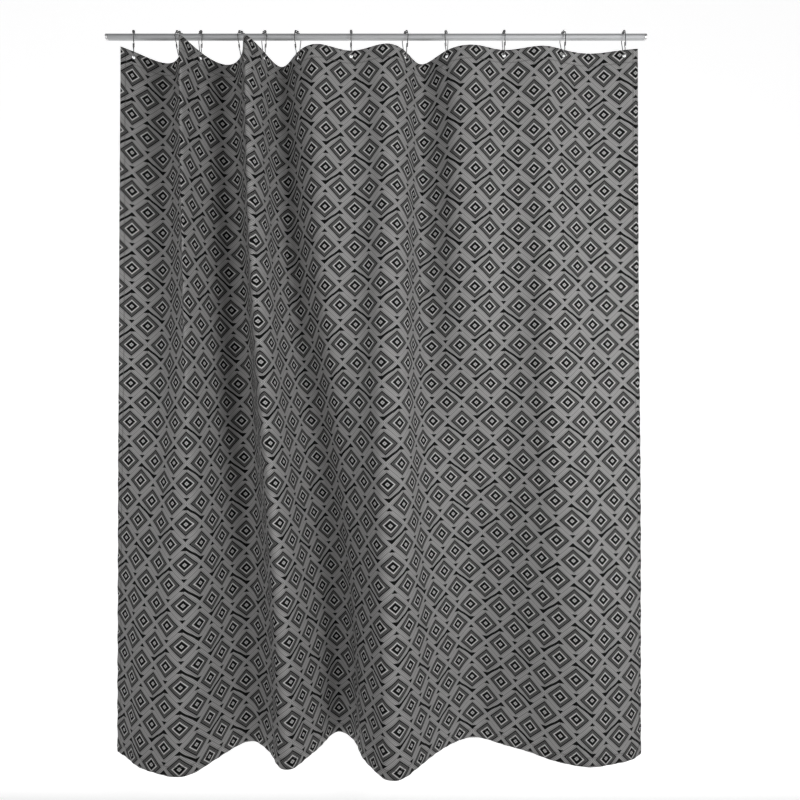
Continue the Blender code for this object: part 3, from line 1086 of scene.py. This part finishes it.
BINDING_MIDDLE = 0.0052
BINDING_RADIUS = 0.00105
BINDING_TURNS = 44
BINDING_SIDES = 8
BINDING_BEHIND = 0.0004
BINDING_WAIST = 0.84  # every second turn of thread is drawn in to this share
binding_thread = Finish("binding_thread", Specular_IOR_Level=0.4)
place = binding_thread.place()
twist = binding_thread.noise(place, 0.0004, 3.0)
binding_thread.drive(
    Base_Color=binding_thread.between(twist, grey(0.05), grey(0.16, 0.01)),
    Roughness=0.50 + twist * 0.3,
    Normal=binding_thread.bump(twist, 0.0001, 0.5),
)
for n, eyelet in enumerate(eyelets_across, start=1):
    nothing_selected()
    bpy.ops.mesh.primitive_torus_add(
        major_segments=2 * BINDING_TURNS,
        minor_segments=BINDING_SIDES,
        major_radius=BINDING_MIDDLE,
        minor_radius=BINDING_RADIUS,
        rotation=(math.pi / 2, 0, 0),
    )
    binding = named(f"eyelet_{n:02d}_binding")
    bpy.ops.object.transform_apply(location=True, rotation=True, scale=True)
    for number, vert in enumerate(binding.data.vertices):
        if (number // BINDING_SIDES) % 2:
            middle = Vector((vert.co.x, 0, vert.co.z)).normalized() * BINDING_MIDDLE
            vert.co = middle + (vert.co - middle) * BINDING_WAIST
    shift = Matrix.Translation((eyelet, BINDING_BEHIND, -TOP_TO_EYELET))
    binding.data.transform(shift)
    hang(binding)
    only_selected(binding)
    bpy.ops.object.shade_smooth()
    finished(binding, binding_thread, "curtain", "tape_cloth")
    drawn_with_hooks(binding)

# The hook wires. Each is one length of chromed spring wire, bent over the rod and down
# through an eyelet, whose two ends lie side by side and clasp each other on the back leg.

WIRE_RADIUS = 0.0011
WIRE_SIDES_LEVEL = 3
HOOK_TOP = 0.0124
HOOK_ARC_RADIUS = 0.015
HOOK_LOW_RADIUS = 0.006
CLASP_SHIFT = WIRE_RADIUS + 0.0002
WIRE_END_ROUND = 0.0005
UPPER_END = (0.26, 0.64)  # shares of the back leg that each wire end covers
LOWER_END = (0.80, 0.42)
LEG_POINTS = 13
MAX_YAW = math.radians(34)
YAW_SHARE = 0.5


def arc_points(radius, centre_z, start, stop, count):
    """Points on an arc in the hook's plane, with angles from straight up towards +Y."""
    angles = np.linspace(start, stop, count)
    return [
        Vector((0, radius * math.sin(a), centre_z + radius * math.cos(a))) for a in angles
    ]


def wire_path():
    centres_apart = (HOOK_LOW - HOOK_LOW_RADIUS) + HOOK_TOP - HOOK_ARC_RADIUS
    side = math.pi / 2 + math.asin((HOOK_ARC_RADIUS - HOOK_LOW_RADIUS) / centres_apart)
    top = arc_points(HOOK_ARC_RADIUS, HOOK_TOP - HOOK_ARC_RADIUS, -side, side, 49)
    low_z = HOOK_LOW_RADIUS - HOOK_LOW
    lower = arc_points(HOOK_LOW_RADIUS, low_z, side, 2 * math.pi - side, 25)
    leg_top, leg_foot = top[0], lower[-1]

    def on_leg(start, stop, shift):
        """Points along the clasp's leg, easing over to one side and staying there."""
        points = []
        for t in np.linspace(0, 1, LEG_POINTS):
            ease = min(t / 0.5, 1)
            ease = ease * ease * (3 - 2 * ease)
            place = leg_top.lerp(leg_foot, start + (stop - start) * t)
            points.append(place + Vector((CLASP_SHIFT * shift * ease, 0, 0)))
        return points

    upper_end = on_leg(*UPPER_END, 1)[::-1]
    lower_end = on_leg(*LOWER_END, -1)
    return upper_end + top + lower + lower_end


wire_line = bpy.data.curves.new("hook_line", "CURVE")
wire_line.dimensions = "3D"
wire_line.bevel_depth = WIRE_RADIUS
wire_line.bevel_resolution = WIRE_SIDES_LEVEL
wire_line.use_fill_caps = True
spline = wire_line.splines.new("POLY")
path = wire_path()
spline.points.add(len(path) - 1)
for point, at in zip(spline.points, path):
    point.co = (*at, 1)
wire_model = bpy.data.objects.new("hook_model", wire_line)
bpy.context.scene.collection.objects.link(wire_model)
only_selected(wire_model)
bpy.ops.object.convert(target="MESH")
wire_model = bpy.context.object
bpy.ops.object.mode_set(mode="EDIT")
bpy.ops.mesh.select_all(action="SELECT")
bpy.ops.mesh.remove_doubles(threshold=1e-6)
bpy.ops.mesh.normals_make_consistent(inside=False)
bpy.ops.mesh.select_mode(type="FACE")
bpy.ops.mesh.select_all(action="DESELECT")
shape = bmesh.from_edit_mesh(wire_model.data)
for face in shape.faces:
    face.select_set(len(face.verts) > 4)
bmesh.update_edit_mesh(wire_model.data)
bpy.ops.mesh.inset(thickness=WIRE_END_ROUND)
shape = bmesh.from_edit_mesh(wire_model.data)
for face in shape.faces:
    if face.select:
        for vert in face.verts:
            vert.co += face.normal * WIRE_END_ROUND * 0.7
bmesh.update_edit_mesh(wire_model.data)
bpy.ops.object.mode_set(mode="OBJECT")
bpy.ops.object.shade_smooth_by_angle(angle=math.radians(60))

chrome_wire = Finish("chrome_wire", Metallic=1.0)
place = chrome_wire.place()
drawn = chrome_wire.noise(place, 0.0005, 3.0, (1, 1, 12))
dulled = chrome_wire.noise(place, 0.006, 2.0)
chrome_wire.drive(
    Base_Color=chrome_wire.between(dulled, grey(0.16), grey(0.42)),
    Roughness=0.09 + drawn * 0.10 + dulled * 0.06,
    Normal=chrome_wire.bump(drawn, 0.00001, 0.5),
)


def header_slope(n):
    """The header's direction at eyelet n, as an angle from the rod."""
    along = lengths_along(header_line)
    ends = eyelets_across[n] + np.array([-0.006, 0.006])
    (x0, x1), (y0, y1) = [np.interp(ends, along, header_line[:, k]) for k in (0, 1)]
    return math.atan2(y1 - y0, x1 - x0)


hook_turns = []
for n, lean in enumerate(leans):
    yaw = max(-MAX_YAW, min(MAX_YAW, YAW_SHARE * header_slope(n)))
    turn = Matrix.Rotation(lean, 4, "X") @ Matrix.Rotation(yaw, 4, "Z")
    hook_turns.append(Matrix.Translation((hook_x[n], 0, 0)) @ turn)
for n, turn in enumerate(hook_turns, start=1):
    wire = copied(wire_model, f"hook_{n:02d}_ring", turn)
    finished(wire, chrome_wire, f"hook_{n:02d}", "hook_wire", f"hook_{n:02d}_wire")
bpy.data.objects.remove(wire_model)

# The roller beads. Three turned steel beads, polished and chromed, sit loose on the top
# of each hook and roll along the rod as the curtain is drawn.

BEAD_RADIUS = 0.0038
BEAD_HALF_LENGTH = 0.003
BEAD_BORE = 0.0018
BEAD_GAP = 0.0006
BEADS = 3

nothing_selected()
bpy.ops.mesh.primitive_uv_sphere_add(
    segments=32, ring_count=20, radius=BEAD_RADIUS, rotation=(0, math.pi / 2, 0)
)
bead_model = named("bead_model")
bpy.ops.object.transform_apply(location=True, rotation=True, scale=True)
bpy.ops.object.mode_set(mode="EDIT")
for way in (-1, 1):
    bpy.ops.mesh.select_all(action="SELECT")
    bpy.ops.mesh.bisect(
        plane_co=(way * BEAD_HALF_LENGTH, 0, 0),
        plane_no=(way, 0, 0),
        use_fill=True,
        clear_outer=True,
    )


def is_bead_end(middle, normal):
    return abs(normal.x) > 0.99 and abs(middle.x) > BEAD_HALF_LENGTH - TOUCHING


selected_faces(bead_model, is_bead_end)
end_radius = math.sqrt(BEAD_RADIUS**2 - BEAD_HALF_LENGTH**2)
bpy.ops.mesh.inset(thickness=end_radius - BEAD_BORE)
bpy.ops.mesh.bridge_edge_loops()
bpy.ops.object.mode_set(mode="OBJECT")
set_in_place(bead_model, 35)

chrome_bead = Finish("chrome_bead", Metallic=1.0)
place = chrome_bead.place()
turned = chrome_bead.noise(place, 0.0008, 2.0)
scratch = chrome_bead.noise(place, 0.0002, 4.0, (6, 1, 1))
chrome_bead.drive(
    Base_Color=chrome_bead.between(turned, grey(0.18), grey(0.46)),
    Roughness=0.07 + scratch * 0.12 + turned * 0.04,
    Normal=chrome_bead.bump(scratch, 0.00001, 0.4),
)
bead_pitch = (2 * BEAD_RADIUS + BEAD_GAP) / HOOK_ARC_RADIUS
arc_centre = Matrix.Translation((0, 0, HOOK_TOP - HOOK_ARC_RADIUS))
on_arc = Matrix.Translation((0, 0, HOOK_ARC_RADIUS))
along_wire = Matrix.Rotation(math.pi / 2, 4, "Z")
for n, turn in enumerate(hook_turns, start=1):
    for k in range(BEADS):
        swing = Matrix.Rotation(-(k - (BEADS - 1) / 2) * bead_pitch, 4, "X")
        seat = turn @ arc_centre @ swing @ on_arc @ along_wire
        node = f"hook_{n:02d}_bead_{k + 1}"
        bead = copied(bead_model, f"roller_{n:02d}_{k + 1}", seat)
        finished(bead, chrome_bead, node, "bead_metal", node)
bpy.data.objects.remove(bead_model)

# The studio: a pale floor that sweeps up into a backdrop, and soft lamps. The lamp on the
# right does most of the work, and a weaker one on the left fills in the folds.

FLOOR_LEVEL = -1.99
FLOOR_FRONT = -6.0
WALL_BEHIND = 5.5
SWEEP = 0.9
STUDIO_HALF = 9.0
WALL_TOP = 7.0

nothing_selected()
bpy.ops.mesh.primitive_plane_add(size=1)
studio = named("studio_floor")
bpy.ops.object.mode_set(mode="EDIT")
selected_edges(studio, lambda at: at.y > 0)
bpy.ops.mesh.extrude_region_move(TRANSFORM_OT_translate={"value": (0, 0, 1)})
bpy.ops.object.mode_set(mode="OBJECT")
for vert in studio.data.vertices:
    vert.co.x = math.copysign(STUDIO_HALF, vert.co.x)
    vert.co.y = WALL_BEHIND if vert.co.y > 0 else FLOOR_FRONT
    vert.co.z = WALL_TOP if vert.co.z > 0.5 else FLOOR_LEVEL
bpy.ops.object.mode_set(mode="EDIT")
selected_edges(studio, lambda at: at.y > 1 and at.z < 0)
bpy.ops.mesh.bevel(offset=SWEEP, segments=24, affect="EDGES")
bpy.ops.object.mode_set(mode="OBJECT")
bpy.ops.object.shade_smooth()
paper = Finish("white_paper", Roughness=0.95, Emission_Strength=0.8)
place = paper.place()
mottle = paper.noise(place, 0.8, 2.0)
depth = place.node("ShaderNodeSeparateXYZ", inputs={"Vector": place}, output="Y")
lit = depth.node(
    "ShaderNodeMapRange",
    {"interpolation_type": "SMOOTHSTEP"},
    {"Value": depth, "From Min": -0.15, "From Max": 0.12},
)
paper.drive(
    Base_Color=paper.between(mottle, grey(0.58), grey(0.62)),
    Emission_Color=paper.between(lit, grey(0.05), grey(1.0)),
)
studio.data.materials.append(paper.material)

world = bpy.data.worlds.new("room")
bpy.context.scene.world = world
world.use_nodes = True
sky = world.node_tree.nodes["Background"]
sky.inputs["Color"].default_value = (0.62, 0.62, 0.63, 1)
sky.inputs["Strength"].default_value = 0.30

LAMPS = [  # name, where it stands, size, watts
    ("lamp_right", (2.0, -1.5, -0.66), 0.8, 23),
    ("lamp_left", (-0.5, -1.8, -0.80), 1.1, 13),
    ("lamp_over", (0.7, -1.6, 1.8), 1.8, 2),
]
LAMP_AIM = Vector((0.75, 0, -0.8))
for name, where, size, watts in LAMPS:
    lamp = bpy.data.lights.new(name, "AREA")
    lamp.shape = "SQUARE"
    lamp.size = size
    lamp.energy = watts
    holder = bpy.data.objects.new(name, lamp)
    bpy.context.scene.collection.objects.link(holder)
    holder.location = where
    facing = (LAMP_AIM - Vector(where)).to_track_quat("-Z", "Y")
    holder.rotation_euler = facing.to_euler()

# The camera, level with the middle of the curtain and a little to the left of it.

camera = bpy.data.cameras.new("camera")
camera.sensor_width = 36
camera.lens = 25.97
camera.shift_x = 0.03
eye = bpy.data.objects.new("camera", camera)
bpy.context.scene.collection.objects.link(eye)
eye.location = (0.7015, -1.50, -0.943)
eye.rotation_euler = (math.pi / 2, 0, 0)
bpy.context.scene.camera = eye
bpy.context.scene.view_settings.view_transform = "Standard"
